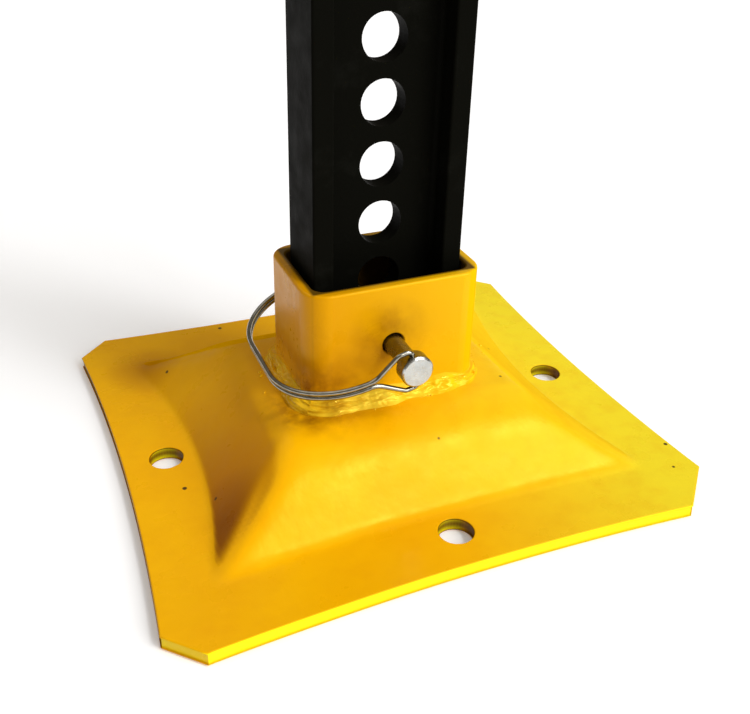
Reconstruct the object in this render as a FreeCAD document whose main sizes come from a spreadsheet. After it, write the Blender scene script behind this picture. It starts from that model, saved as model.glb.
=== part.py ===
import FreeCAD, Part

import math
import os

import Sketcher
from FreeCAD import Placement, Rotation, Vector

# Post foot: a pressed steel base plate with a raised boss, a rectangular socket tube welded on
# the boss, a perforated I-section post that stands in the socket, and a wire lock pin that
# passes through the socket's front wall, the post's web and the socket's back wall.
#
# Frame: millimetres, +Z up, X along the plate's width, -Y is the side that the pin's head is on.
# The origin is on the floor, under the middle of the plate.

# Driving dimensions: alias, value, what it is.
DIMENSIONS = [
    ("plate_width", 178.0, "plate along X"),
    ("plate_depth", 165.0, "plate along Y"),
    ("plate_gauge", 4.5, "sheet thickness of the plate"),
    ("corner_clip", 10.0, "clipped corners of the plate"),
    ("front_right_clip", 15.0, "the larger clipped corner"),
    ("draw_in", 3.2, "how far the middle of each plate edge is pulled in"),
    ("anchor_hole", 10.7, "diameter of the four anchor holes"),
    ("anchor_margin", 17.0, "hole centre to the nominal plate edge"),
    ("boss_rise", 20.0, "height of the boss above the flange"),
    ("boss_margin_x", 18.0, "boss tips to the plate edge, along X"),
    ("boss_margin_y", 24.5, "boss tips to the plate edge, along Y"),
    ("boss_waist_x", 8.5, "how far the boss sides bow in, along X"),
    ("boss_waist_y", 2.0, "how far the boss sides bow in, along Y"),
    ("boss_shelf", 1.0, "flat top of the boss beyond the weld"),
    ("socket_width", 60.0, "outside of the socket tube, along X"),
    ("socket_depth", 40.0, "outside of the socket tube, along Y"),
    ("socket_wall", 4.0, "wall of the socket tube"),
    ("socket_corner", 8.0, "outside corner radius of the socket tube"),
    ("socket_length", 40.0, "length of the socket tube"),
    ("weld_leg", 4.5, "leg of the fillet weld round the socket's foot"),
    ("weld_crown", 0.6, "how far the weld's face bulges"),
    ("post_width", 50.0, "post section, flange to flange"),
    ("post_depth", 23.0, "post section, along Y"),
    ("post_flange", 6.6, "thickness of a post flange"),
    ("post_web", 6.5, "thickness of the post's web"),
    ("post_edge", 0.8, "rounding of the flange edges"),
    ("post_root", 1.6, "radius between flange and web"),
    ("web_hole", 14.4, "diameter of the holes in the web"),
    ("web_pitch", 19.05, "spacing of the holes in the web"),
    ("web_first", 15.8, "foot of the post to its first hole"),
    ("web_hole_count", 20, "holes in the web"),
    ("post_seat", 0.1, "gap between the boss and the foot of the post"),
    ("pin_diameter", 6.35, "shank of the lock pin"),
    ("pin_play", 1.15, "how much wider than the shank the socket's pin holes are"),
    ("pin_web_gap", 0.45, "level of the shank's top below the top of the web hole that it is in"),
    ("pin_offset", -1.5, "pin axis from the middle of the socket, along X"),
    ("pin_head", 10.4, "diameter of the pin's head"),
    ("pin_head_length", 5.2, "length of the pin's head"),
    ("pin_standoff", 13.0, "socket wall to the back of the pin's head"),
    ("pin_overhang", 13.5, "pin beyond the socket's back wall"),
    ("pin_bevel", 0.6, "bevels of the pin's head"),
    ("pin_nose", 1.4, "bevel of the pin's tip"),
    ("wire_diameter", 1.6, "wire of the retaining loop"),
    ("wire_fit", 0.08, "radial play of the wire in the pin's head"),
    ("wire_gap", 0.1, "gap between the two strands of the loop"),
    ("wire_reach", 39.0, "pin axis to the outer run of the loop"),
    ("wire_bend_front", 24.0, "loop corner radius beside the head"),
    ("wire_bend_back", 27.0, "loop corner radius beside the tip"),
    ("wire_droop", 13.0, "degrees that the loop hangs below level"),
    ("wire_clear", 0.4, "gap between the loop's eye and the pin's tip"),
    ("wire_rise", 0.6, "gap between the wire and the top of the pin's head"),
]

# Form of the boss. These are proportions, not sizes. A shoulder is the share of a flank over
# which it bends away from the flat top, and the foot's ease is the same for its bend back to level.
SHOULDER_X = 0.12
SHOULDER_Y = 0.30
FOOT_EASE = 0.10
SOFT_RIDGE = 3.0
CRISP_RIDGE = 12.0
GRID_PITCH = 3.0

doc = FreeCAD.newDocument("post_foot")
sheet = doc.addObject("Spreadsheet::Sheet", "dimensions")
for row, (alias, value, meaning) in enumerate(DIMENSIONS, start=1):
    sheet.set(f"A{row}", alias)
    sheet.set(f"B{row}", str(value))
    sheet.set(f"C{row}", meaning)
    sheet.setAlias(f"B{row}", alias)
doc.recompute()


def size(alias):
    """A driving dimension, as a plain number."""
    return float(getattr(sheet, alias))


def bound(expression):
    """The same expression with each alias read from the sheet."""
    words = expression.split()
    names = {alias for alias, _, _ in DIMENSIONS}
    return " ".join(f"dimensions.{word}" if word in names else word for word in words)


def origin_item(body, role):
    """One of a body's own origin planes or axes."""
    return next(item for item in body.Origin.OriginFeatures if item.Role == role)


def new_body(label):
    """An empty body whose label names its file."""
    body = doc.addObject("PartDesign::Body", label)
    body.Label = label
    return body


def new_sketch(body, name, role):
    """An empty sketch on one of the body's origin planes."""
    sketch = body.newObject("Sketcher::SketchObject", name)
    sketch.AttachmentSupport = [(origin_item(body, role), "")]
    sketch.MapMode = "FlatFace"
    return sketch


def drive(sketch, constraint, expression):
    """Add a constraint whose value is worked out from the sheet."""
    index = sketch.addConstraint(constraint)
    sketch.setExpression(f"Constraints[{index}]", bound(expression))


def polygon(body, name, role, corners):
    """A closed outline. Each corner is a pair of expressions, along the sketch's two axes."""
    sketch = new_sketch(body, name, role)
    count = len(corners)
    turn = 2 * math.pi / count
    ring = [Vector(50 * math.cos(turn * i), 50 * math.sin(turn * i), 0) for i in range(count)]
    for i in range(count):
        sketch.addGeometry(Part.LineSegment(ring[i], ring[(i + 1) % count]), False)
    for i in range(count):
        sketch.addConstraint(Sketcher.Constraint("Coincident", i, 2, (i + 1) % count, 1))
    for i, (across, along) in enumerate(corners):
        drive(sketch, Sketcher.Constraint("DistanceX", -1, 1, i, 1, ring[i].x), across)
        drive(sketch, Sketcher.Constraint("DistanceY", -1, 1, i, 1, ring[i].y), along)
    return sketch


def rectangle(body, name, role, half_across, half_along):
    """A rectangle centred on the sketch's origin, from its two half sizes."""
    left, low = f"-1 * ( {half_across} )", f"-1 * ( {half_along} )"
    right, high = half_across, half_along
    return polygon(body, name, role, [(left, low), (right, low), (right, high), (left, high)])


def circle(body, name, role, across, along, diameter):
    """A circle, placed and sized by expressions."""
    sketch = new_sketch(body, name, role)
    start = Part.Circle(Vector(1, 1, 0), Vector(0, 0, 1), 2)
    sketch.addGeometry(start, False)
    drive(sketch, Sketcher.Constraint("DistanceX", -1, 1, 0, 3, 1.0), across)
    drive(sketch, Sketcher.Constraint("DistanceY", -1, 1, 0, 3, 1.0), along)
    drive(sketch, Sketcher.Constraint("Diameter", 0, 4.0), diameter)
    return sketch


def pad(body, sketch, length):
    """Pad a sketch upwards by a length given as an expression."""
    feature = body.newObject("PartDesign::Pad", f"{sketch.Name}_pad")
    feature.Profile = sketch
    feature.setExpression("Length", bound(length))
    sketch.Visibility = False
    doc.recompute()
    return feature


def pocket_through(body, sketch):
    """Cut a sketch right through the body, both ways, and check that it cut something."""
    before = body.Shape.Volume
    feature = body.newObject("PartDesign::Pocket", f"{sketch.Name}_cut")
    feature.Profile = sketch
    feature.Type = "ThroughAll"
    feature.Midplane = True
    sketch.Visibility = False
    doc.recompute()
    if not body.Shape.Volume < before:
        raise RuntimeError(f"{feature.Name} cut nothing")
    return feature


def fillet_uprights(body, name, places, radius):
    """Round the edges along Z that stand at the given places, each an (x, y) pair."""
    names = []
    for number, edge in enumerate(body.Shape.Edges, start=1):
        ends = [vertex.Point for vertex in edge.Vertexes]
        upright = len(ends) == 2 and math.hypot(ends[0].x - ends[1].x, ends[0].y - ends[1].y) < 1e-6
        if upright and any(math.hypot(ends[0].x - x, ends[0].y - y) < 1e-3 for x, y in places):
            names.append(f"Edge{number}")
    if len(names) != len(places):
        raise RuntimeError(f"{name} found {len(names)} edges, not {len(places)}")
    rounded = body.Tip
    feature = body.newObject("PartDesign::Fillet", name)
    feature.Base = (rounded, names)
    feature.setExpression("Radius", bound(radius))
    doc.recompute()
    return feature


def mirrored_places(x, y):
    """The four places that share |x| and |y|."""
    return [(x, y), (-x, y), (-x, -y), (x, -y)]


def plateau_height():
    """Height of the boss's flat top, which the socket stands on and the post just clears."""
    return size("plate_gauge") + size("boss_rise")


# --- Base plate ---------------------------------------------------------------------------


def eased(value, ease):
    """Zero below -ease, the value itself above +ease, and a smooth bend between."""
    if value <= -ease:
        return 0.0
    if value >= ease:
        return value
    return (value + ease) ** 2 / (4 * ease)


def boss_height(x, y):
    """Height of the pressed boss above the flange, at a point of the plate.

    The boss is a four-sided heap with a flat top. Its sides bow in between four tips. Its ridges
    run from the corners of the flat top to the tips, and are soft above and crisp below.
    """
    top_x = size("socket_width") / 2 + size("weld_leg") + size("boss_shelf")
    top_y = size("socket_depth") / 2 + size("weld_leg") + size("boss_shelf")
    tip_x = size("plate_width") / 2 - size("boss_margin_x")
    tip_y = size("plate_depth") / 2 - size("boss_margin_y")
    run_x = tip_x - top_x - size("boss_waist_x") * max(0.0, 1 - (y / tip_y) ** 2)
    run_y = tip_y - top_y - size("boss_waist_y") * max(0.0, 1 - (x / tip_x) ** 2)
    along_x = max(0.0, abs(x) - top_x) / run_x
    along_y = max(0.0, abs(y) - top_y) / run_y
    further = max(along_x, along_y)
    if further == 0.0:
        return size("boss_rise")
    crispness = SOFT_RIDGE + (CRISP_RIDGE - SOFT_RIDGE) * min(1.0, further) ** 2
    share_x, share_y = along_x**crispness, along_y**crispness
    down = (share_x + share_y) ** (1 / crispness)
    shoulder = SHOULDER_Y + (SHOULDER_X - SHOULDER_Y) * share_x / (share_x + share_y)
    fallen = eased(down - shoulder, shoulder) / (1 - shoulder)
    return size("boss_rise") * eased(1 - fallen, FOOT_EASE)


def pressed_panel(half_x, half_y):
    """The middle of the plate, with the boss pressed up in it, as a sheet with square sides."""
    columns = 2 * math.ceil(half_x / GRID_PITCH)
    rows = 2 * math.ceil(half_y / GRID_PITCH)
    grid = []
    for i in range(columns + 1):
        x = half_x * (2 * i / columns - 1)
        line = []
        for j in range(rows + 1):
            y = half_y * (2 * j / rows - 1)
            on_border = i in (0, columns) or j in (0, rows)
            line.append(Vector(x, y, 0.0 if on_border else boss_height(x, y)))
        grid.append(line)
    surface = Part.BSplineSurface()
    surface.interpolate(grid)
    return surface.toShape().extrude(Vector(0, 0, size("plate_gauge")))


def plate_outline():
    """The plate's outline: clipped corners, and edges pulled in towards the boss."""
    half_x, half_y = size("plate_width") / 2, size("plate_depth") / 2
    clip, big_clip, pull = size("corner_clip"), size("front_right_clip"), size("draw_in")
    front_left = [Vector(-half_x, -half_y + clip, 0), Vector(-half_x + clip, -half_y, 0)]
    front_right = [Vector(half_x - big_clip, -half_y, 0), Vector(half_x, -half_y + big_clip, 0)]
    back_right = [Vector(half_x, half_y - clip, 0), Vector(half_x - clip, half_y, 0)]
    back_left = [Vector(-half_x + clip, half_y, 0), Vector(-half_x, half_y - clip, 0)]
    middles = [
        Vector(0, -half_y + pull, 0),
        Vector(half_x - pull, 0, 0),
        Vector(0, half_y - pull, 0),
        Vector(-half_x + pull, 0, 0),
    ]
    clips = [front_left, front_right, back_right, back_left]
    edges = []
    for i, (start, end) in enumerate(clips):
        edges.append(Part.LineSegment(start, end).toShape())
        edges.append(Part.Arc(end, middles[i], clips[(i + 1) % 4][0]).toShape())
    return Part.Face(Part.Wire(edges))


def anchor_places():
    """Centres of the four anchor holes, one at the middle of each side."""
    reach_x = size("plate_width") / 2 - size("anchor_margin")
    reach_y = size("plate_depth") / 2 - size("anchor_margin")
    return [(reach_x, 0), (0, reach_y), (-reach_x, 0), (0, -reach_y)]


def make_base_plate():
    """The flange, the pressed panel in its middle, and the anchor holes."""
    gauge = size("plate_gauge")
    half_x = size("plate_width") / 2 - size("boss_margin_x") + GRID_PITCH
    half_y = size("plate_depth") / 2 - size("boss_margin_y") + GRID_PITCH
    flange = plate_outline().extrude(Vector(0, 0, gauge))
    window = Part.makeBox(2 * half_x, 2 * half_y, gauge, Vector(-half_x, -half_y, 0))
    plate = flange.cut(window).fuse(pressed_panel(half_x, half_y))
    for x, y in anchor_places():
        drill = Part.makeCylinder(size("anchor_hole") / 2, 3 * gauge, Vector(x, y, -gauge))
        plate = plate.cut(drill)
    return plate


# --- Socket tube --------------------------------------------------------------------------


def make_socket_tube():
    """Rectangular tube with rounded corners and a pin hole through its front and back walls."""
    body = new_body("socket_tube")
    half_x, half_y = size("socket_width") / 2, size("socket_depth") / 2
    wall = size("socket_wall")
    outside = rectangle(body, "tube_outside", "XY_Plane", "socket_width / 2", "socket_depth / 2")
    pad(body, outside, "socket_length")
    fillet_uprights(body, "tube_corners", mirrored_places(half_x, half_y), "socket_corner")
    inside = rectangle(
        body,
        "tube_inside",
        "XY_Plane",
        "socket_width / 2 - socket_wall",
        "socket_depth / 2 - socket_wall",
    )
    pocket_through(body, inside)
    inner_places = mirrored_places(half_x - wall, half_y - wall)
    fillet_uprights(body, "tube_bore_corners", inner_places, "socket_corner - socket_wall")
    lift = "post_seat + web_first + web_hole / 2 - pin_web_gap - pin_diameter / 2"
    bore = "pin_diameter + pin_play"
    pin_hole = circle(body, "tube_pin_hole", "XZ_Plane", "pin_offset", lift, bore)
    pocket_through(body, pin_hole)
    body.Placement = Placement(Vector(0, 0, plateau_height()), Rotation())


# --- Welds --------------------------------------------------------------------------------


def weld_profile(base, outward):
    """Section of the weld: a right-angled fillet with a crowned face."""
    leg, crown = size("weld_leg"), size("weld_crown")
    toe = base + outward * leg
    top = base + Vector(0, 0, leg)
    face_normal = (outward + Vector(0, 0, 1)).normalize()
    middle = (toe + top) * 0.5 + face_normal * crown
    sides = [Part.LineSegment(base, toe), Part.Arc(toe, middle, top), Part.LineSegment(top, base)]
    return Part.Face(Part.Wire([side.toShape() for side in sides]))


def make_weld_run(outward, half_run, half_across):
    """One run of weld: a straight side of the socket and half of the corner at each end."""
    radius = size("socket_corner")
    along = Vector(0, 0, 1).cross(outward)
    level = Vector(0, 0, plateau_height())
    start = level + outward * half_across - along * (half_run - radius)
    end = level + outward * half_across + along * (half_run - radius)
    run = weld_profile(start, outward).extrude(end - start)
    for place, angle in ((start, -45), (end, 45)):
        centre = place - outward * radius
        corner = weld_profile(place, outward).revolve(centre, Vector(0, 0, 1), angle)
        run = run.fuse(corner)
    return run.removeSplitter()


# --- Post ---------------------------------------------------------------------------------


def make_post_bar():
    """I-section bar with a row of round holes in its web."""
    body = new_body("post_bar")
    out_x, in_x = "post_width / 2", "post_width / 2 - post_flange"
    out_y, in_y = "post_depth / 2", "post_web / 2"
    right = [(in_x, in_y), (in_x, out_y), (out_x, out_y)]
    corners = [(x, f"-1 * ( {y} )") for x, y in right]
    corners += [(x, y) for x, y in reversed(right)]
    corners += [(f"-1 * ( {x} )", y) for x, y in right]
    corners += [(f"-1 * ( {x} )", f"-1 * ( {y} )") for x, y in reversed(right)]
    section = polygon(body, "post_section", "XY_Plane", corners)
    pad(body, section, "2 * web_first + ( web_hole_count - 1 ) * web_pitch")
    half_x, half_y = size("post_width") / 2, size("post_depth") / 2
    inner_x, inner_y = half_x - size("post_flange"), size("post_web") / 2
    fillet_uprights(body, "post_roots", mirrored_places(inner_x, inner_y), "post_root")
    edges = mirrored_places(half_x, half_y) + mirrored_places(inner_x, half_y)
    fillet_uprights(body, "post_edges", edges, "post_edge")
    hole = circle(body, "web_hole_sketch", "XZ_Plane", "0", "web_first", "web_hole")
    first = pocket_through(body, hole)
    row_of_holes = body.newObject("PartDesign::LinearPattern", "web_hole_row")
    row_of_holes.Originals = [first]
    row_of_holes.Direction = (origin_item(body, "Z_Axis"), [""])
    row_of_holes.setExpression("Length", bound("( web_hole_count - 1 ) * web_pitch"))
    row_of_holes.setExpression("Occurrences", bound("web_hole_count"))
    body.Tip = row_of_holes
    body.Placement = Placement(Vector(0, 0, plateau_height() + size("post_seat")), Rotation())


# --- Lock pin and its wire ----------------------------------------------------------------


def pin_height():
    """Height of the pin's axis, just under the top of the web's first hole."""
    hole_top = plateau_height() + size("post_seat") + size("web_first") + size("web_hole") / 2
    return hole_top - size("pin_web_gap") - size("pin_diameter") / 2


def pin_placement():
    """Pin and wire share one place: on the pin's axis, turned so that the loop droops."""
    turned = Rotation(Vector(0, 1, 0), -size("wire_droop"))
    return Placement(Vector(size("pin_offset"), 0, pin_height()), turned)


def make_lock_pin():
    """Headed pin along Y, with a cross hole through the head for the wire."""
    body = new_body("lock_pin")
    front = "-1 * ( socket_depth / 2 + pin_standoff + pin_head_length )"
    neck = "-1 * ( socket_depth / 2 + pin_standoff )"
    tip = "socket_depth / 2 + pin_overhang"
    head, shank = "pin_head / 2", "pin_diameter / 2"
    corners = [
        (front, "0"),
        (front, f"{head} - pin_bevel"),
        (f"{front} + pin_bevel", head),
        (f"{neck} - pin_bevel", head),
        (neck, f"{head} - pin_bevel"),
        (neck, shank),
        (f"{tip} - pin_nose", shank),
        (tip, f"{shank} - pin_nose"),
        (tip, "0"),
    ]
    profile = polygon(body, "pin_profile", "YZ_Plane", corners)
    turned = body.newObject("PartDesign::Revolution", "pin_turned")
    turned.Profile = profile
    turned.ReferenceAxis = (profile, ["H_Axis"])
    profile.Visibility = False
    doc.recompute()
    middle = "-1 * ( socket_depth / 2 + pin_standoff + pin_head_length / 2 )"
    bore = "wire_diameter + 2 * wire_fit"
    cross_hole = circle(body, "pin_cross_hole", "XY_Plane", "0", middle, bore)
    pocket_through(body, cross_hole)
    body.Placement = pin_placement()


def rounded_route(stops):
    """Straight runs joined by tangent arcs. Each stop is a corner and the radius there."""
    edges = []
    last = stops[0][0]
    for i in range(1, len(stops) - 1):
        corner, radius = stops[i]
        back = (stops[i - 1][0] - corner).normalize()
        ahead = (stops[i + 1][0] - corner).normalize()
        half_turn = (math.pi - back.getAngle(ahead)) / 2
        setback = radius * math.tan(half_turn)
        enter, leave = corner + back * setback, corner + ahead * setback
        bisector = (back + ahead).normalize()
        middle = corner + bisector * (radius / math.cos(half_turn) - radius)
        edges.append(Part.LineSegment(last, enter).toShape())
        edges.append(Part.Arc(enter, middle, leave).toShape())
        last = leave
    edges.append(Part.LineSegment(last, stops[-1][0]).toShape())
    return edges


def wire_stops():
    """The upper strand's corners, from inside the pin's head to the loop's eye.

    The wire leaves the top of the head, comes down to the loop's own level beside the lower
    strand, goes round the socket's left side and opens into an eye beyond the pin's tip.
    """
    wire = size("wire_diameter")
    strand = (wire + size("wire_gap")) / 2
    head_y = -(size("socket_depth") / 2 + size("pin_standoff") + size("pin_head_length") / 2)
    eye_y = size("socket_depth") / 2 + size("pin_overhang") + size("wire_clear") + wire / 2
    over_head = size("pin_head") / 2 + wire / 2 + size("wire_rise")
    eye = size("pin_diameter") / 2 + wire / 2
    reach = size("wire_reach")
    return [
        (Vector(0, head_y, 0.6), 0),
        (Vector(0, head_y, over_head), wire),
        (Vector(-2.6 * wire, head_y, over_head), 1.6 * wire),
        (Vector(-7.8 * wire, head_y + 0.6, strand), 4 * wire),
        (Vector(-reach, head_y + 1.6, strand), size("wire_bend_front")),
        (Vector(-reach, eye_y, strand), size("wire_bend_back")),
        (Vector(-5 * wire, eye_y, strand), 2 * wire),
        (Vector(-2.2 * wire, eye_y, eye), 1.6 * wire),
        (Vector(eye, eye_y, eye), eye * 0.98),
        (Vector(eye, eye_y, 0), 0),
    ]


def make_pin_wire():
    """One wire bent double: both ends in the pin's head, and an eye at the far end."""
    upper = wire_stops()
    lower = [(Vector(p.x, p.y, -p.z), radius) for p, radius in reversed(upper[:-1])]
    route = Part.Wire(rounded_route(upper[:-1] + lower))
    wire = size("wire_diameter")
    start, towards = upper[0][0], Vector(0, 0, 1)
    section = Part.Wire(Part.makeCircle(wire / 2, start, towards))
    solid = route.makePipeShell([section], True, False)
    expected = math.pi * wire**2 / 4 * route.Length
    print(f"wire: length {route.Length:.1f}, volume {solid.Volume / expected:.4f} of section x length")
    return solid


def add_feature(label, shape, placement=None):
    """A sub-part whose shape is made by Part's own functions."""
    feature = doc.addObject("Part::Feature", label)
    feature.Label = label
    feature.Shape = shape
    if placement is not None:
        feature.Placement = placement
    return feature


half_width, half_depth = size("socket_width") / 2, size("socket_depth") / 2
add_feature("base_plate", make_base_plate())
make_socket_tube()
add_feature("weld_front", make_weld_run(Vector(0, -1, 0), half_width, half_depth))
add_feature("weld_back", make_weld_run(Vector(0, 1, 0), half_width, half_depth))
add_feature("weld_left", make_weld_run(Vector(-1, 0, 0), half_depth, half_width))
add_feature("weld_right", make_weld_run(Vector(1, 0, 0), half_depth, half_width))
make_post_bar()
make_lock_pin()
add_feature("pin_wire", make_pin_wire(), pin_placement())
doc.recompute()

NODES = [
    "base_plate",
    "socket_tube",
    "weld_front",
    "weld_back",
    "weld_left",
    "weld_right",
    "post_bar",
    "lock_pin",
    "pin_wire",
]
for item in doc.Objects:
    if "Invalid" in item.State or "Error" in item.State:
        raise RuntimeError(f"{item.Label} failed: {item.State}")
os.makedirs("parts", exist_ok=True)
for label in NODES:
    item = doc.getObjectsByLabel(label)[0]
    shape = item.Shape
    if shape.isNull() or not shape.isValid() or len(shape.Solids) != 1:
        raise RuntimeError(f"{label} is not one valid solid")
    shape.exportStep(f"parts/{label}.step")
    print(f"{label}: {shape.Volume:.1f} mm3")
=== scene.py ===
"""Looks of the post foot: pressed yellow plate, welded socket, black post, lock pin and wire."""

import math
import random

import bmesh
import bpy
from mathutils import Matrix, Vector, noise
from mathutils.geometry import delaunay_2d_cdt


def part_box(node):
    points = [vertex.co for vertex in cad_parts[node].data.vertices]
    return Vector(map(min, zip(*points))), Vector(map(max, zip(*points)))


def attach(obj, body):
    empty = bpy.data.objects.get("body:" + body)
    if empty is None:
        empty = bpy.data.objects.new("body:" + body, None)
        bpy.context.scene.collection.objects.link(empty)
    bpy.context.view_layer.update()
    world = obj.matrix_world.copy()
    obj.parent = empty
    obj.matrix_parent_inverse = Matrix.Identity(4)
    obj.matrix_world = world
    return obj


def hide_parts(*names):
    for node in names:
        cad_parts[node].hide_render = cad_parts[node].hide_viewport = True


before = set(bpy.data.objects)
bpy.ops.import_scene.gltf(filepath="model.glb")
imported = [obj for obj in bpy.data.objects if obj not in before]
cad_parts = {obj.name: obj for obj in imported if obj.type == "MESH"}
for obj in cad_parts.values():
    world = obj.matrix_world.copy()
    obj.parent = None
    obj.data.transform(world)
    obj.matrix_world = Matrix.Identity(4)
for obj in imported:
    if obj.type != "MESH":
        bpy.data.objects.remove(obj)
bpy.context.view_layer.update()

MM = 0.001

# --- Sizes read from the frame ------------------------------------------------------------

_, plate_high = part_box("base_plate")
socket_low, socket_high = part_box("socket_tube")
pin_low, pin_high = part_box("lock_pin")

PLATE_X = plate_high.x
PLATE_Y = plate_high.y
SOCKET_X = socket_high.x
SOCKET_Y = socket_high.y
PLATEAU = socket_low.z
PIN_X = (pin_low.x + pin_high.x) / 2
PIN_Z = (pin_low.z + pin_high.z) / 2

# --- Sizes of the visible model, in metres ------------------------------------------------

GAUGE = 4.5 * MM
BOSS_RISE = PLATEAU - GAUGE
CLIP = 10.0 * MM
BIG_CLIP = 15.0 * MM
DRAW_IN = 3.2 * MM
ANCHOR_RADIUS = 5.35 * MM
ANCHOR_MARGIN = 17.0 * MM
WELD_LEG = 4.5 * MM
SOCKET_CORNER = 8.0 * MM
SOCKET_WALL = 4.0 * MM
PIN_HOLE_RADIUS = 3.75 * MM
RIM_SOFTNESS = 0.9 * MM
BORE_LIP = 0.35 * MM
EDGE_ROUND = 0.45 * MM
SHEET_PITCH = 1.25 * MM
WAVE_HEIGHT = 0.22 * MM
WAVES_PER_METRE = 28.0
TOP_X = SOCKET_X + WELD_LEG + 1.0 * MM
TOP_Y = SOCKET_Y + WELD_LEG + 1.0 * MM
TIP_X = PLATE_X - 16.8 * MM
TIP_Y = PLATE_Y - 22.6 * MM
WAIST_X = 9.7 * MM
WAIST_Y = 3.9 * MM

# The boss is a heap with a flat top. Its shoulders and feet are bends, as shares of the fall,
# and its ridges are soft above and crisp below.
SHOULDER_X = 0.12
SHOULDER_Y = 0.30
FOOT_EASE_X = 0.035
FOOT_EASE_Y = 0.10
SIDE_FULLNESS = 1.2
SOFT_RIDGE = 2.2
CRISP_RIDGE = 12.0


# --- Mesh helpers -------------------------------------------------------------------------


def new_piece(name, vertices, faces, body, smooth_angle=40.0, flat_walls=False):
    """A mesh object that rides on a body and is shaded smooth, with sharp edges kept.

    With flat_walls, faces square to an axis are planes that the rounding beside them must
    not bend.
    """
    mesh = bpy.data.meshes.new(name)
    mesh.from_pydata(vertices, [], faces)
    mesh.validate()
    working = bmesh.new()
    working.from_mesh(mesh)
    bmesh.ops.remove_doubles(working, verts=working.verts, dist=1e-7)
    bmesh.ops.recalc_face_normals(working, faces=working.faces)
    limit = math.radians(smooth_angle)
    for face in working.faces:
        square = max(abs(part) for part in face.normal) > 0.9999
        face.smooth = not (flat_walls and square)
    for edge in working.edges:
        edge.smooth = len(edge.link_faces) == 2 and edge.calc_face_angle(0.0) < limit
    working.to_mesh(mesh)
    working.free()
    piece = bpy.data.objects.new(name, mesh)
    bpy.context.scene.collection.objects.link(piece)
    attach(piece, body)
    return piece


def lerp(a, b, share):
    return a + (b - a) * share


# --- Pressed plate ------------------------------------------------------------------------


def eased(value, ease):
    """Zero below -ease, the value itself above +ease, and a smooth bend between."""
    if value <= -ease:
        return 0.0
    if value >= ease:
        return value
    return (value + ease) ** 2 / (4 * ease)


def boss_height(x, y):
    """Height of the boss above the flange: the CAD plate's, with fuller sides and crisp feet."""
    run_x = TIP_X - TOP_X - WAIST_X * max(0.0, 1 - (y / TIP_Y) ** 2)
    run_y = TIP_Y - TOP_Y - WAIST_Y * max(0.0, 1 - (x / TIP_X) ** 2)
    along_x = (max(0.0, abs(x) - TOP_X) / run_x) ** SIDE_FULLNESS
    along_y = max(0.0, abs(y) - TOP_Y) / run_y
    further = max(along_x, along_y)
    if further == 0.0:
        return BOSS_RISE
    crispness = lerp(SOFT_RIDGE, CRISP_RIDGE, min(1.0, further) ** 3)
    share_x, share_y = along_x**crispness, along_y**crispness
    down = (share_x + share_y) ** (1 / crispness)
    side = share_x / (share_x + share_y)
    shoulder = lerp(SHOULDER_Y, SHOULDER_X, side)
    fallen = eased(down - shoulder, shoulder) / (1 - shoulder)
    return BOSS_RISE * eased(1 - fallen, lerp(FOOT_EASE_Y, FOOT_EASE_X, side))


def waviness(x, y):
    """Slow unevenness that pressing leaves in sheet, never below the true face."""
    place = Vector((x, y, 0.0)) * WAVES_PER_METRE
    return WAVE_HEIGHT * (0.5 + 0.5 * noise.noise(place))


def arc_points(start, middle, end, count):
    """Points along the circle through three points, from start up to but without end."""
    ax, ay, bx, by, cx, cy = *start, *middle, *end
    twice = 2 * (ax * (by - cy) + bx * (cy - ay) + cx * (ay - by))
    a2, b2, c2 = ax * ax + ay * ay, bx * bx + by * by, cx * cx + cy * cy
    ox = (a2 * (by - cy) + b2 * (cy - ay) + c2 * (ay - by)) / twice
    oy = (a2 * (cx - bx) + b2 * (ax - cx) + c2 * (bx - ax)) / twice
    radius = math.hypot(ax - ox, ay - oy)
    first = math.atan2(ay - oy, ax - ox)
    sweep = math.atan2(cy - oy, cx - ox) - first
    sweep = (sweep + math.pi) % (2 * math.pi) - math.pi
    turns = [first + sweep * i / count for i in range(count)]
    return [(ox + radius * math.cos(t), oy + radius * math.sin(t)) for t in turns]


def plate_loop():
    """The plate's outline, anticlockwise, as closely spaced points."""
    x, y = PLATE_X, PLATE_Y
    clips = [
        ((-x, -y + CLIP), (-x + CLIP, -y)),
        ((x - BIG_CLIP, -y), (x, -y + BIG_CLIP)),
        ((x, y - CLIP), (x - CLIP, y)),
        ((-x + CLIP, y), (-x, y - CLIP)),
    ]
    middles = [(0, -y + DRAW_IN), (x - DRAW_IN, 0), (0, y - DRAW_IN), (-x + DRAW_IN, 0)]
    clip_steps, side_steps = 8, 110
    points = []
    for i, (start, end) in enumerate(clips):
        for j in range(clip_steps):
            share = j / clip_steps
            points.append((lerp(start[0], end[0], share), lerp(start[1], end[1], share)))
        points += arc_points(end, middles[i], clips[(i + 1) % 4][0], side_steps)
    return points


def circle_loop(centre, radius, count=40):
    turns = [2 * math.pi * i / count for i in range(count)]
    return [(centre[0] + radius * math.cos(t), centre[1] + radius * math.sin(t)) for t in turns]


def inset_loop(loop, distance, inwards):
    """The same loop moved sideways into the sheet by a distance."""
    count = len(loop)
    moved = []
    for i, (x, y) in enumerate(loop):
        before, after = loop[i - 1], loop[(i + 1) % count]
        dx, dy = after[0] - before[0], after[1] - before[1]
        length = math.hypot(dx, dy)
        moved.append((x - dy / length * distance * inwards, y + dx / length * distance * inwards))
    return moved


def inside_loop(point, loop):
    """Is the point inside the loop?"""
    x, y = point
    inside = False
    for i, (x1, y1) in enumerate(loop):
        x0, y0 = loop[i - 1]
        if (y0 > y) != (y1 > y) and x < (x1 - x0) * (y - y0) / (y1 - y0) + x0:
            inside = not inside
    return inside


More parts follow.
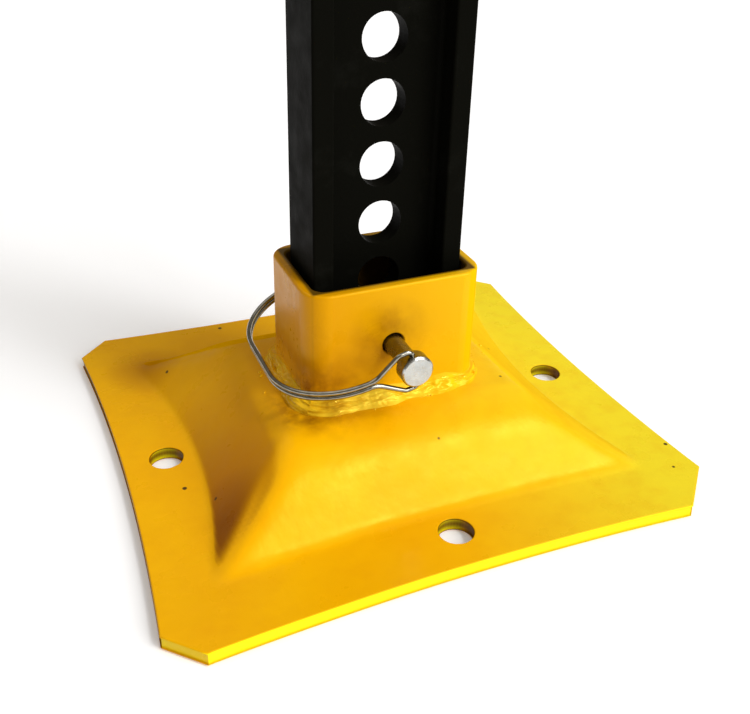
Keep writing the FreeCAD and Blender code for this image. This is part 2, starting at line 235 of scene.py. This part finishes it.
def anchor_centres():
    """Where the four anchor holes are, one at the middle of each side."""
    reach_x, reach_y = PLATE_X - ANCHOR_MARGIN, PLATE_Y - ANCHOR_MARGIN
    return [(reach_x, 0), (0, reach_y), (-reach_x, 0), (0, -reach_y)]


def plate_sheet(border, guard, centres):
    """Points and triangles of the flat sheet, inside its outline and outside its holes.

    The border's loops are edges of the triangles. The guard loop keeps the grid off them.
    """
    points, constraint_edges = [], []
    for loop in border:
        first = len(points)
        points += loop
        constraint_edges += [
            (first + i, first + (i + 1) % len(loop)) for i in range(len(loop))
        ]
    columns = int(2 * PLATE_X / SHEET_PITCH)
    rows = int(2 * PLATE_Y / SHEET_PITCH)
    hole_guard = ANCHOR_RADIUS + 1.6 * SHEET_PITCH
    for i in range(columns + 1):
        for j in range(rows + 1):
            spot = (PLATE_X * (2 * i / columns - 1), PLATE_Y * (2 * j / rows - 1))
            near_hole = any(math.dist(spot, centre) < hole_guard for centre in centres)
            if inside_loop(spot, guard) and not near_hole:
                points.append(spot)
    found = delaunay_2d_cdt([Vector(p) for p in points], constraint_edges, [], 0, 1e-9)
    kept_points, triangles = found[0], found[2]

    def in_sheet(triangle):
        middle = tuple(sum(kept_points[i][axis] for i in triangle) / 3 for axis in (0, 1))
        hole_reach = ANCHOR_RADIUS + 0.5 * EDGE_ROUND
        if any(math.dist(middle, centre) < hole_reach for centre in centres):
            return False
        near_edge = abs(middle[0]) > PLATE_X - 6 * MM or abs(middle[1]) > PLATE_Y - 6 * MM
        return not near_edge or inside_loop(middle, border[0])

    return kept_points, [t for t in triangles if in_sheet(t)]


def rim_layers(loop, side):
    """Rings of points round one rim, from the top face round both edges to the underside."""
    turns = [math.radians(a) for a in (0, 30, 60, 90)]
    rounding = [(EDGE_ROUND * (1 - math.sin(t)), EDGE_ROUND * (1 - math.cos(t))) for t in turns]
    steps = [(inset, GAUGE - drop) for inset, drop in reversed(rounding)] + rounding
    waves = [waviness(x, y) for x, y in inset_loop(loop, EDGE_ROUND, side)]
    return [
        [(x, y, level + wave) for (x, y), wave in zip(inset_loop(loop, inset, side), waves)]
        for inset, level in steps
    ]


def build_plate():
    """The pressed sheet: a dense top and underside, with rounded sheared edges all round."""
    centres = anchor_centres()
    rims = [(plate_loop(), 1)] + [(circle_loop(c, ANCHOR_RADIUS), -1) for c in centres]
    border = [inset_loop(loop, EDGE_ROUND, side) for loop, side in rims]
    guard = inset_loop(rims[0][0], EDGE_ROUND + 0.7 * SHEET_PITCH, 1)
    points, triangles = plate_sheet(border, guard, centres)
    underside = [(p.x, p.y, boss_height(p.x, p.y) + waviness(p.x, p.y)) for p in points]
    count = len(underside)
    vertices = [(x, y, GAUGE + height) for x, y, height in underside] + underside
    faces = [tuple(t) for t in triangles]
    faces += [tuple(count + i for i in reversed(t)) for t in triangles]
    for loop, side in rims:
        layers = rim_layers(loop, side)
        first, size = len(vertices), len(loop)
        vertices += [point for layer in layers for point in layer]
        for k in range(len(layers) - 1):
            for i in range(size):
                a, b = first + k * size + i, first + k * size + (i + 1) % size
                faces.append((a, b, b + size, a + size))
    return new_piece("pressed_plate", vertices, faces, "base")


# --- Socket tube --------------------------------------------------------------------------


ARC_POINTS = 13
# The ring's edges that are the long flat walls, by the side of the socket that they are on.
LONG_WALLS = {1: 2 * ARC_POINTS - 1, -1: 4 * ARC_POINTS - 1}


def rounded_ring(half_x, half_y, radius, z):
    """A rounded rectangle at one level, anticlockwise, starting at the front right corner."""
    ring = []
    for sign_x, sign_y, first in ((1, -1, -90), (1, 1, 0), (-1, 1, 90), (-1, -1, 180)):
        for step in range(ARC_POINTS):
            angle = math.radians(first + 90 * step / (ARC_POINTS - 1))
            x = sign_x * (half_x - radius) + radius * math.cos(angle)
            y = sign_y * (half_y - radius) + radius * math.sin(angle)
            ring.append((x, y, z))
    return ring


def socket_rings():
    """Rounded rectangles up the outside, over the soft rim and down the inside."""
    quarter = [math.radians(a) for a in (0, 22.5, 45, 67.5, 90)]
    rim = [(RIM_SOFTNESS * (1 - math.cos(t)), RIM_SOFTNESS * (1 - math.sin(t))) for t in quarter]
    top = socket_high.z
    steps = [(0.0, PLATEAU)] + [(inset, top - drop) for inset, drop in rim]
    steps += [(SOCKET_WALL - inset, top - drop) for inset, drop in reversed(rim)]
    steps.append((SOCKET_WALL, PLATEAU))
    return [
        rounded_ring(SOCKET_X - inset, SOCKET_Y - inset, SOCKET_CORNER - inset, level)
        for inset, level in steps
    ]


def turn_about_pin(point):
    """Angle of a point about the pin's axis, from 0 to a full turn."""
    return math.atan2(point[2] - PIN_Z, point[0] - PIN_X) % (2 * math.pi)


def add_bore(vertices, faces, sign, outer_wall, inner_wall):
    """A pin hole with softened lips through one wall, which fills both of its open faces."""
    around = 48
    outer_y, inner_y = sign * SOCKET_Y, sign * (SOCKET_Y - SOCKET_WALL)
    profile = [
        (BORE_LIP, outer_y),
        (0.3 * BORE_LIP, outer_y - sign * 0.3 * BORE_LIP),
        (0.0, outer_y - sign * BORE_LIP),
        (0.0, inner_y + sign * BORE_LIP),
        (BORE_LIP, inner_y),
    ]
    circles = []
    for grow, y in profile:
        circles.append(len(vertices))
        for x, z in circle_loop((PIN_X, PIN_Z), PIN_HOLE_RADIUS + grow, around):
            vertices.append((x, y, z))
    for a, b in zip(circles, circles[1:]):
        for i in range(around):
            j = (i + 1) % around
            faces.append((a + i, a + j, b + j, b + i))
    for circle, wall in ((circles[0], outer_wall), (circles[-1], inner_wall)):
        corners = sorted(wall, key=lambda v: turn_about_pin(vertices[v]))
        step = around // 4
        for q in range(4):
            start = q * step
            for i in range(start, start + step):
                faces.append((circle + i % around, circle + (i + 1) % around, corners[q]))
            edge_point = circle + (start + step) % around
            faces.append((edge_point, corners[(q + 1) % 4], corners[q]))


def build_socket():
    """Rectangular tube with a softened rim and a pin hole through its front and back walls."""
    rings = socket_rings()
    size = len(rings[0])
    walls = (0, len(rings) - 2)
    vertices = [point for ring in rings for point in ring]
    faces = []
    for level in range(len(rings)):
        above = (level + 1) % len(rings)
        for i in range(size):
            if level in walls and i in LONG_WALLS.values():
                continue
            j = (i + 1) % size
            faces.append((level * size + i, level * size + j, above * size + j, above * size + i))
    for sign, i in LONG_WALLS.items():
        j = (i + 1) % size
        open_walls = [
            [level * size + i, level * size + j, (level + 1) * size + j, (level + 1) * size + i]
            for level in walls
        ]
        add_bore(vertices, faces, sign, *open_walls)
    piece = new_piece("socket_shell", vertices, faces, "base", 50.0, True)
    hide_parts("socket_tube")
    return piece


# --- Weld ---------------------------------------------------------------------------------


BEAD_STEPS = 28
BEAD_SUNK = 0.25 * MM
RIPPLE_LENGTH = 2.9 * MM
LUMPS_PER_METRE = 95.0
GRAINS_PER_METRE = 330.0
FOLDS_PER_METRE = 130
THINNER_FROM, THINNER_OVER, THINNING = 0.016, 0.012, 0.42
DIAGONAL = 0.707


def socket_walk(step):
    """Points and outward directions round the socket's foot, from the middle of a corner."""
    radius = SOCKET_CORNER
    walk = []
    for quarter in range(4):
        turned = Matrix.Rotation(quarter * math.pi / 2, 2)
        half_x, half_y = (SOCKET_X, SOCKET_Y) if quarter % 2 == 0 else (SOCKET_Y, SOCKET_X)
        side = []
        arc_steps = max(2, round(radius * math.pi / 4 / step))
        line_steps = max(2, round(2 * (half_x - radius) / step))
        for i in range(arc_steps):
            angle = math.radians(-135 + 45 * i / arc_steps)
            way = Vector((math.cos(angle), math.sin(angle)))
            side.append((Vector((-half_x + radius, -half_y + radius)) + way * radius, way))
        for i in range(line_steps):
            x = lerp(-half_x + radius, half_x - radius, i / line_steps)
            side.append((Vector((x, -half_y)), Vector((0, -1))))
        for i in range(arc_steps + 1):
            angle = math.radians(-90 + 45 * i / arc_steps)
            way = Vector((math.cos(angle), math.sin(angle)))
            side.append((Vector((half_x - radius, -half_y + radius)) + way * radius, way))
        walk.append([(turned @ place, turned @ way) for place, way in side])
    return walk


def bead_bulge(place, travelled, share, wander, lump):
    """How far the bead swells at a share of the way from its top to its toe, in metres."""
    bend = math.sin(math.pi * share)
    phase = travelled / RIPPLE_LENGTH + 0.5 * bend + 2.2 * wander
    ripple = math.sin(2 * math.pi * phase)
    grain = noise.noise(Vector((place.x, place.y, share * 0.006)) * GRAINS_PER_METRE)
    drawn = noise.noise(Vector((travelled * FOLDS_PER_METRE, share * 5.0 + 1.5 * wander, 3.0)))
    seam = math.exp(-(((share - 0.52 - 0.25 * lump) / 0.09) ** 2))
    swell = 1.45 + 0.05 * ripple + 0.35 * lump + 0.22 * grain - 1.6 * abs(drawn)
    return bend * (swell - 0.55 * seam) * MM


def build_weld(name, node, side):
    """One run of weld: a crowned fillet in two uneven passes, with drawn-out folds.

    The front run is thinner at its right end.
    """
    vertices, faces = [], []
    travelled = 0.0
    last = None
    for place, way in side:
        if last is not None:
            travelled += (place - last).length
        last = place
        spot = Vector((place.x, place.y, 0)) * LUMPS_PER_METRE
        wander = noise.noise(spot)
        lump = noise.noise(spot * 2.6 + Vector((7, 3, 1)))
        lean = 0.5
        if place.y < 0:
            lean = max(0.0, min(1.0, (place.x - THINNER_FROM) / THINNER_OVER))
        girth = 1.0 - THINNING * lean
        foot = WELD_LEG * girth * (1.08 + 0.26 * wander + 0.12 * lump)
        rise = WELD_LEG * girth * (0.98 + 0.30 * noise.noise(spot + Vector((0, 0, 9))))
        for k in range(BEAD_STEPS + 1):
            share = k / BEAD_STEPS
            slanted = DIAGONAL * bead_bulge(place, travelled, share, wander, lump)
            out = foot * share + slanted - BEAD_SUNK * (1 - share)
            up = rise * (1 - share) + slanted - BEAD_SUNK * share
            point = place + way * out
            fall = boss_height(point.x, point.y) - BOSS_RISE
            vertices.append((point.x, point.y, PLATEAU + up + share * fall))
        root = place - way * BEAD_SUNK
        vertices.append((root.x, root.y, PLATEAU - BEAD_SUNK))
    ring = BEAD_STEPS + 2
    for i in range(len(side) - 1):
        for k in range(ring):
            a, b = i * ring + k, i * ring + (k + 1) % ring
            faces.append((a, b, b + ring, a + ring))
    faces.append(tuple(range(ring)))
    faces.append(tuple((len(side) - 1) * ring + k for k in reversed(range(ring))))
    piece = new_piece(name, vertices, faces, "base", 75.0)
    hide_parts(node)
    return piece


def build_spatter():
    """Small beads of weld spatter under the paint, near the weld."""
    random.seed(11)
    drops = 26
    working = bmesh.new()
    for _ in range(drops):
        angle = random.uniform(0, 2 * math.pi)
        reach = random.uniform(1.02, 1.22)
        x = (SOCKET_X + WELD_LEG) * reach * math.cos(angle)
        y = (SOCKET_Y + WELD_LEG) * reach * math.sin(angle)
        if abs(x) < SOCKET_X + 1 * MM and abs(y) < SOCKET_Y + 1 * MM:
            continue
        radius = random.uniform(0.25, 0.6) * MM
        z = GAUGE + boss_height(x, y) + 0.2 * radius
        bmesh.ops.create_icosphere(
            working, subdivisions=2, radius=radius, matrix=Matrix.Translation((x, y, z))
        )
    for face in working.faces:
        face.smooth = True
    mesh = bpy.data.meshes.new("weld_spatter")
    working.to_mesh(mesh)
    working.free()
    piece = bpy.data.objects.new("weld_spatter", mesh)
    bpy.context.scene.collection.objects.link(piece)
    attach(piece, "base")
    return piece


# --- Materials ----------------------------------------------------------------------------


class Graph:
    """A material's node graph, with short ways to add and join nodes."""

    def __init__(self, name):
        self.material = bpy.data.materials.new(name)
        self.material.use_nodes = True
        self.nodes = self.material.node_tree.nodes
        self.links = self.material.node_tree.links
        self.shader = self.nodes["Principled BSDF"]
        coordinates = self.add("ShaderNodeTexCoord")
        self.place = coordinates.outputs["Object"]
        self.facing = coordinates.outputs["Normal"]

    def add(self, kind, **settings):
        node = self.nodes.new(kind)
        for key, value in settings.items():
            setattr(node, key, value)
        return node

    def join(self, source, target):
        self.links.new(source, target)

    def noise(self, scale, detail=3.0, roughness=0.55, place=None):
        node = self.add("ShaderNodeTexNoise")
        node.inputs["Scale"].default_value = scale
        node.inputs["Detail"].default_value = detail
        node.inputs["Roughness"].default_value = roughness
        self.join(place or self.place, node.inputs["Vector"])
        return node.outputs["Fac"]

    def span(self, value, low, high, to_low=0.0, to_high=1.0):
        """The value's stretch from low to high, spread over another stretch."""
        node = self.add("ShaderNodeMapRange")
        node.clamp = True
        for name, number in (
            ("From Min", low),
            ("From Max", high),
            ("To Min", to_low),
            ("To Max", to_high),
        ):
            node.inputs[name].default_value = number
        self.join(value, node.inputs["Value"])
        return node.outputs["Result"]

    def arithmetic(self, operation, *items):
        """A sum on one or more items; each is a socket or a plain number."""
        node = self.add("ShaderNodeMath", operation=operation)
        for socket, item in zip(node.inputs, items):
            if isinstance(item, float):
                socket.default_value = item
            else:
                self.join(item, socket)
        return node.outputs["Value"]

    def times(self, first, second):
        return self.arithmetic("MULTIPLY", first, second)

    def plus(self, first, second):
        return self.arithmetic("ADD", first, second)

    def absolute(self, value):
        return self.arithmetic("ABSOLUTE", value)

    def split(self, vector):
        """The three parts of a vector."""
        node = self.add("ShaderNodeSeparateXYZ")
        self.join(vector, node.inputs["Vector"])
        return node.outputs["X"], node.outputs["Y"], node.outputs["Z"]

    def mix(self, share, first, second):
        """A colour between two others; each is a socket or a plain colour."""
        node = self.add("ShaderNodeMix", data_type="RGBA")
        self.join(share, node.inputs["Factor"])
        for socket, item in ((node.inputs[6], first), (node.inputs[7], second)):
            if isinstance(item, tuple):
                socket.default_value = (*item, 1.0)
            else:
                self.join(item, socket)
        return node.outputs[2]

    def bump(self, heights):
        """Bumps added one after another, each a (height, distance in metres) pair."""
        normal = None
        for height, distance in heights:
            node = self.add("ShaderNodeBump")
            node.inputs["Strength"].default_value = 1.0
            node.inputs["Distance"].default_value = distance
            self.join(height, node.inputs["Height"])
            if normal is not None:
                self.join(normal, node.inputs["Normal"])
            normal = node.outputs["Normal"]
        self.join(normal, self.shader.inputs["Normal"])

    def near(self, point, inner, outer):
        """One close to a point of the object, fading to zero further off."""
        node = self.add("ShaderNodeVectorMath", operation="DISTANCE")
        self.join(self.place, node.inputs[0])
        node.inputs[1].default_value = point
        return self.span(node.outputs["Value"], inner, outer, 1.0, 0.0)

    def set(self, **values):
        for name, value in values.items():
            self.shader.inputs[name.replace("_", " ")].default_value = value


def sprayed_colour_and_light(g, x, facing_y):
    """Slow drift from deep to warm yellow with an orange mottle, and painted light: lemon yellow
    towards the right, less so on faces that slope to the front.
    """
    drift = g.span(g.noise(24.0, 4.0), 0.32, 0.68)
    colour = g.mix(drift, (0.79, 0.375, 0.0), (0.84, 0.435, 0.0))
    # Painted light: the right-hand side is painted a lighter lemon yellow, as if lit from the
    # right.
    painted_light_right = g.times(g.span(x, 0.0, 75 * MM), g.span(facing_y, -0.15, -0.45, 1.0, 0.45))
    colour = g.mix(painted_light_right, colour, (0.86, 0.69, 0.02))
    mottle = g.span(g.noise(150.0, 5.0), 0.45, 0.75, 0.0, 0.22)
    return g.mix(mottle, colour, (0.70, 0.29, 0.0))


def tube_colour_and_shade(g, colour, x, y, z):
    """The socket's colour with painted shade: browner towards the left, and dark inside the tube.
    """
    on_tube = g.span(z, PLATEAU + 4 * MM, PLATEAU + 6 * MM)
    # Painted shade: the tube's paint darkens from its right side to its left.
    painted_shade_along_tube = g.span(x, -30 * MM, 30 * MM)
    colour = g.mix(on_tube, colour, g.mix(painted_shade_along_tube, (0.62, 0.27, 0.0), (0.80, 0.45, 0.002)))
    # Painted shade inside the tube, round the post.
    inside = g.times(
        g.span(g.absolute(x), SOCKET_X - 3 * MM, SOCKET_X - 2 * MM, 1.0, 0.0),
        g.span(g.absolute(y), SOCKET_Y - 3 * MM, SOCKET_Y - 2 * MM, 1.0, 0.0),
    )
    return g.mix(g.times(on_tube, inside), colour, (0.10, 0.05, 0.003))


def boss_painted_shade(g, colour, z, facing_x):
    """Painted shade on the boss: orange-brown on its left flank, darkest near the front-left tip
    and at the foot of the back-left ridge, and a duller right flank.
    """
    # Painted shade on the right flank, below the tube.
    painted_shade_right_flank = g.span(facing_x, 0.12, 0.45, 0.0, 0.5)
    leftward = g.span(facing_x, -0.38, -0.6)
    below_tube = g.span(z, PLATEAU - 3 * MM, PLATEAU - 0.5 * MM, 1.0, 0.0)
    # Painted shade on the left flank, which faces away from the light.
    painted_shade_left_flank = g.times(
        g.near((-TIP_X + 8 * MM, -0.55 * TIP_Y, GAUGE + 5 * MM), 8 * MM, 55 * MM), leftward
    )
    colour = g.mix(g.times(g.times(painted_shade_left_flank, below_tube), 0.75), colour, (0.42, 0.125, 0.0))
    # Painted shade, deepest in the hollow by the front-left tip.
    painted_shade_near_tip = g.times(
        g.near((-TIP_X + 7 * MM, -TIP_Y + 15 * MM, GAUGE + 4 * MM), 5 * MM, 24 * MM), leftward
    )
    colour = g.mix(g.times(painted_shade_near_tip, 0.85), colour, (0.24, 0.065, 0.0))
    # Painted shade at the foot of the back-left ridge.
    painted_shade_back_ridge = g.near((-TIP_X + 5 * MM, TIP_Y - 5 * MM, GAUGE + 2 * MM), 2 * MM, 17 * MM)
    colour = g.mix(g.times(painted_shade_back_ridge, 0.7), colour, (0.42, 0.14, 0.0))
    return g.mix(g.times(painted_shade_right_flank, below_tube), colour, (0.66, 0.33, 0.004))


def cut_edge_light_and_shade(g, colour, lit_front_edge, sheared, facing_x):
    """Painted light and shade on the cut edges: a lighter front edge, a darker left edge and dark
    hole walls.
    """
    # Painted light: the front edge face is painted lighter.
    colour = g.mix(lit_front_edge, colour, (0.90, 0.76, 0.01))
    # Painted shade on the left-facing edge.
    painted_shade_left_edge = g.times(g.span(facing_x, -0.8, -0.95), sheared)
    colour = g.mix(painted_shade_left_edge, colour, (0.20, 0.09, 0.003))
    for x, y in anchor_centres():
        # Painted shade on the walls of the anchor holes.
        wall = g.near((x, y, GAUGE / 2), ANCHOR_RADIUS + 0.4 * MM, ANCHOR_RADIUS + 0.7 * MM)
        colour = g.mix(wall, colour, (0.10, 0.028, 0.002))
    return colour


def scorch_and_shadow_colour(g, colour):
    """Brown smudges where welding burnt the paint, which also serve as painted shadow where the
    pin and wire shade the socket's front.
    """
    front = -SOCKET_Y
    left_corner = (-SOCKET_X - 1 * MM, front + 4 * MM, PLATEAU + 3 * MM)
    by_pin_hole = (PIN_X - 2 * MM, front, PIN_Z + 3 * MM)
    front_foot = (-22 * MM, front - 3 * MM, PLATEAU + 6 * MM)
    # Partly painted shadow: the smudges by the pin hole and at the front foot also darken where
    # the pin and wire cast shade.
    marks = 0.0
    for centre, inner, outer, scale, low, high, strength in (
        (left_corner, 4 * MM, 16 * MM, 200.0, 0.3, 0.6, 0.85),
        (by_pin_hole, 3 * MM, 15 * MM, 110.0, 0.25, 0.62, 0.75),
        (front_foot, 3 * MM, 17 * MM, 140.0, 0.3, 0.6, 0.6),
    ):
        patchy = g.span(g.noise(scale, 4.0), low, high)
        marks = g.plus(marks, g.times(g.times(g.near(centre, inner, outer), patchy), strength))
    return g.mix(marks, colour, (0.26, 0.085, 0.001))


def bead_colour_and_highlight(g, colour):
    """Paler, yellower patches of paint in random places on the welds, and a painted highlight on
    the front weld's toe.
    """
    fresh = g.span(g.noise(170.0, 3.0), 0.35, 0.65, 0.2, 0.85)
    colour = g.mix(fresh, colour, (0.88, 0.56, 0.01))
    # Painted highlight on the lower part of the front weld, left of its middle.
    painted_highlight_front_weld = g.near((-8 * MM, -SOCKET_Y - 5 * MM, PLATEAU), 6 * MM, 24 * MM)
    return g.mix(g.times(g.times(painted_highlight_front_weld, fresh), 0.8), colour, (0.95, 0.72, 0.06))


def specked_colour(g, colour):
    """A few small dark specks."""
    cells = g.add("ShaderNodeTexVoronoi", feature="F1")
    cells.inputs["Scale"].default_value = 85.0
    g.join(g.place, cells.inputs["Vector"])
    dot = g.span(cells.outputs["Distance"], 0.050, 0.072, 1.0, 0.0)
    sparse = g.span(g.noise(31.0, 1.0), 0.50, 0.52)
    return g.mix(g.times(dot, sparse), colour, (0.07, 0.035, 0.01))


def yellow_enamel(name, glossy=False):
    """Thick yellow enamel, sprayed over the weld.

    It has chalked on the sides that face back and right, so those hardly shine, and neither
    does the front edge.
    """
    g = Graph(name)
    x, y, z = g.split(g.place)
    facing_x, facing_y, _ = g.split(g.facing)
    sheared = g.span(z, GAUGE, GAUGE + 0.3 * MM, 1.0, 0.0)
    # Painted light: a mask of the front edge face, which is painted lighter and shines less.
    lit_front_edge = g.times(g.span(facing_y, -0.6, -0.8), sheared)
    colour = sprayed_colour_and_light(g, x, facing_y)
    colour = tube_colour_and_shade(g, colour, x, y, z)
    colour = boss_painted_shade(g, colour, z, facing_x)
    colour = cut_edge_light_and_shade(g, colour, lit_front_edge, sheared, facing_x)
    colour = scorch_and_shadow_colour(g, colour)
    if glossy:
        colour = bead_colour_and_highlight(g, colour)
    g.join(specked_colour(g, colour), g.shader.inputs["Base Color"])
    dull, shiny, sheen = (0.13, 0.06, 0.9) if glossy else (0.38, 0.24, 0.45)
    g.join(g.span(g.noise(90.0, 4.0), 0.3, 0.7, shiny, dull), g.shader.inputs["Roughness"])
    chalky = g.plus(g.span(facing_y, 0.03, 0.20), g.span(facing_x, 0.10, 0.35))
    chalky = g.plus(chalky, g.times(lit_front_edge, 0.8))
    g.join(g.span(chalky, 0.0, 1.0, sheen, 0.0), g.shader.inputs["Specular IOR Level"])
    g.bump([(g.noise(70.0, 2.0), 0.35 * MM), (g.noise(520.0, 2.0), 0.05 * MM)])
    g.set(IOR=1.5, Specular_Tint=(1.0, 0.70, 0.10, 1.0))
    return g.material


def black_coat():
    """Satin black coating on rolled steel, with faint scuffs and dust."""
    g = Graph("black_coat")
    scuff = g.span(g.noise(60.0, 6.0, 0.7), 0.55, 0.8)
    colour = g.mix(scuff, (0.0030, 0.0030, 0.0020), (0.0065, 0.0065, 0.0050))
    g.join(colour, g.shader.inputs["Base Color"])
    g.join(g.span(g.noise(120.0, 5.0), 0.3, 0.7, 0.38, 0.55), g.shader.inputs["Roughness"])
    g.bump([(g.noise(900.0, 3.0), 0.04 * MM), (g.noise(60.0, 2.0), 0.12 * MM)])
    g.set(IOR=1.45, Specular_IOR_Level=0.012)
    return g.material


def steel(name, tone, roughness, lay_scale, face_at=None, face_tone=None):
    """Plated steel: metal with fine tool marks and a slightly clouded finish.

    A piece may have an end face, at a place along Y, that is paler than the rest.
    """
    g = Graph(name)
    cloud = g.span(g.noise(350.0, 4.0), 0.3, 0.7)
    darker = tuple(0.6 * c for c in tone)
    colour = g.mix(cloud, tone, darker)
    if face_at is not None:
        _, y, _ = g.split(g.place)
        on_face = g.span(y, face_at + 0.5 * MM, face_at + 0.2 * MM)
        colour = g.mix(on_face, colour, g.mix(cloud, face_tone, tuple(0.8 * c for c in face_tone)))
    g.join(colour, g.shader.inputs["Base Color"])
    g.join(
        g.span(g.noise(500.0, 4.0), 0.3, 0.7, roughness * 0.75, roughness * 1.3),
        g.shader.inputs["Roughness"],
    )
    stretch = g.add("ShaderNodeMapping")
    stretch.inputs["Scale"].default_value = lay_scale
    g.join(g.place, stretch.inputs["Vector"])
    marks = g.noise(1.0, 3.0, 0.6, stretch.outputs["Vector"])
    g.bump([(marks, 0.03 * MM)])
    g.set(Metallic=1.0)
    return g.material


def floor_material():
    """Pale paper sweep."""
    g = Graph("floor_paper")
    tone = g.span(g.noise(3.0, 2.0), 0.3, 0.7)
    g.join(g.mix(tone, (0.92, 0.93, 0.95), (0.95, 0.96, 0.98)), g.shader.inputs["Base Color"])
    g.set(Roughness=0.9, Emission_Color=(1.0, 1.0, 1.0, 1.0), Emission_Strength=0.12)
    return g.material


def paint(piece, material):
    """Give every part of a piece one material."""
    if not piece.material_slots:
        piece.data.materials.append(material)
    for material_slot in piece.material_slots:
        material_slot.material = material


# --- Light, floor and camera --------------------------------------------------------------


def add_sun(name, towards, strength, spread):
    """A distant lamp in the given direction, as wide as its spread in degrees."""
    light = bpy.data.lights.new(name, "SUN")
    light.energy = strength
    light.angle = math.radians(spread)
    lamp = bpy.data.objects.new(name, light)
    lamp.rotation_euler = Vector(towards).to_track_quat("Z", "Y").to_euler()
    bpy.context.scene.collection.objects.link(lamp)


def build_stage():
    """Floor, soft lights and a white backdrop that lights the object only faintly."""
    floor_size, floor_drop = 40.0, 0.2 * MM
    world_light, backdrop = 0.22, 1.0
    bpy.ops.mesh.primitive_plane_add(size=floor_size, location=(0, 0, -floor_drop))
    floor = bpy.context.object
    floor.name = "floor"
    paint(floor, floor_material())
    world = bpy.data.worlds.new("studio")
    bpy.context.scene.world = world
    world.use_nodes = True
    nodes, links = world.node_tree.nodes, world.node_tree.links
    background = nodes["Background"]
    rays = nodes.new("ShaderNodeLightPath")
    level = nodes.new("ShaderNodeMapRange")
    level.inputs["To Min"].default_value = world_light
    level.inputs["To Max"].default_value = backdrop
    links.new(rays.outputs["Is Camera Ray"], level.inputs["Value"])
    links.new(level.outputs["Result"], background.inputs["Strength"])
    tint = nodes.new("ShaderNodeMix")
    tint.data_type = "RGBA"
    tint.inputs[6].default_value = (1.0, 0.87, 0.70, 1.0)
    tint.inputs[7].default_value = (1.0, 1.0, 1.0, 1.0)
    links.new(rays.outputs["Is Camera Ray"], tint.inputs["Factor"])
    links.new(tint.outputs[2], background.inputs["Color"])
    add_sun("key", (0.50, -0.68, 0.54), 2.8, 50.0)
    add_sun("window", (0.36, -0.45, 0.78), 0.6, 9.0)
    add_sun("top", (-0.1, 0.1, 1.0), 0.8, 80.0)
    bpy.context.scene.view_settings.view_transform = "Standard"


def build_camera():
    """The camera stands front left, above the socket, and is rolled a little."""
    azimuth, elevation, roll = (math.radians(a) for a in (-24.22, 27.91, 1.82))
    back = Vector(
        (
            math.sin(azimuth) * math.cos(elevation),
            -math.cos(azimuth) * math.cos(elevation),
            math.sin(elevation),
        )
    )
    level = Vector((math.cos(azimuth), math.sin(azimuth), 0))
    up = back.cross(level)
    right = level * math.cos(roll) + up * math.sin(roll)
    above = up * math.cos(roll) - level * math.sin(roll)
    turn = Matrix((right, above, back)).transposed().to_4x4()
    place = Vector((-0.10907, -0.24942, 0.19468))
    data = bpy.data.cameras.new("camera")
    data.lens, data.sensor_width = 44.85, 36.0
    data.shift_x, data.shift_y = -0.010, -0.080
    camera = bpy.data.objects.new("camera", data)
    camera.matrix_world = Matrix.Translation(place) @ turn
    bpy.context.scene.collection.objects.link(camera)
    bpy.context.scene.camera = camera


# --- The model ----------------------------------------------------------------------------

enamel = yellow_enamel("yellow_enamel")
weld_enamel = yellow_enamel("weld_enamel", glossy=True)
black = black_coat()
pin_steel = steel(
    "zinc_plate", (0.26, 0.25, 0.22), 0.24, (900.0, 60.0, 900.0), pin_low.y, (0.66, 0.68, 0.67)
)
wire_steel = steel("spring_wire", (0.42, 0.41, 0.35), 0.16, (300.0, 300.0, 300.0))

plate = build_plate()
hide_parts("base_plate")
paint(plate, enamel)
SIDES = ["front", "right", "back", "left"]
for label, side in zip(SIDES, socket_walk(0.35 * MM)):
    paint(build_weld(f"weld_bead_{label}", f"weld_{label}", side), weld_enamel)
paint(build_spatter(), weld_enamel)
paint(build_socket(), enamel)
paint(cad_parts["post_bar"], black)
paint(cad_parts["lock_pin"], pin_steel)
paint(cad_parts["pin_wire"], wire_steel)

build_stage()
build_camera()
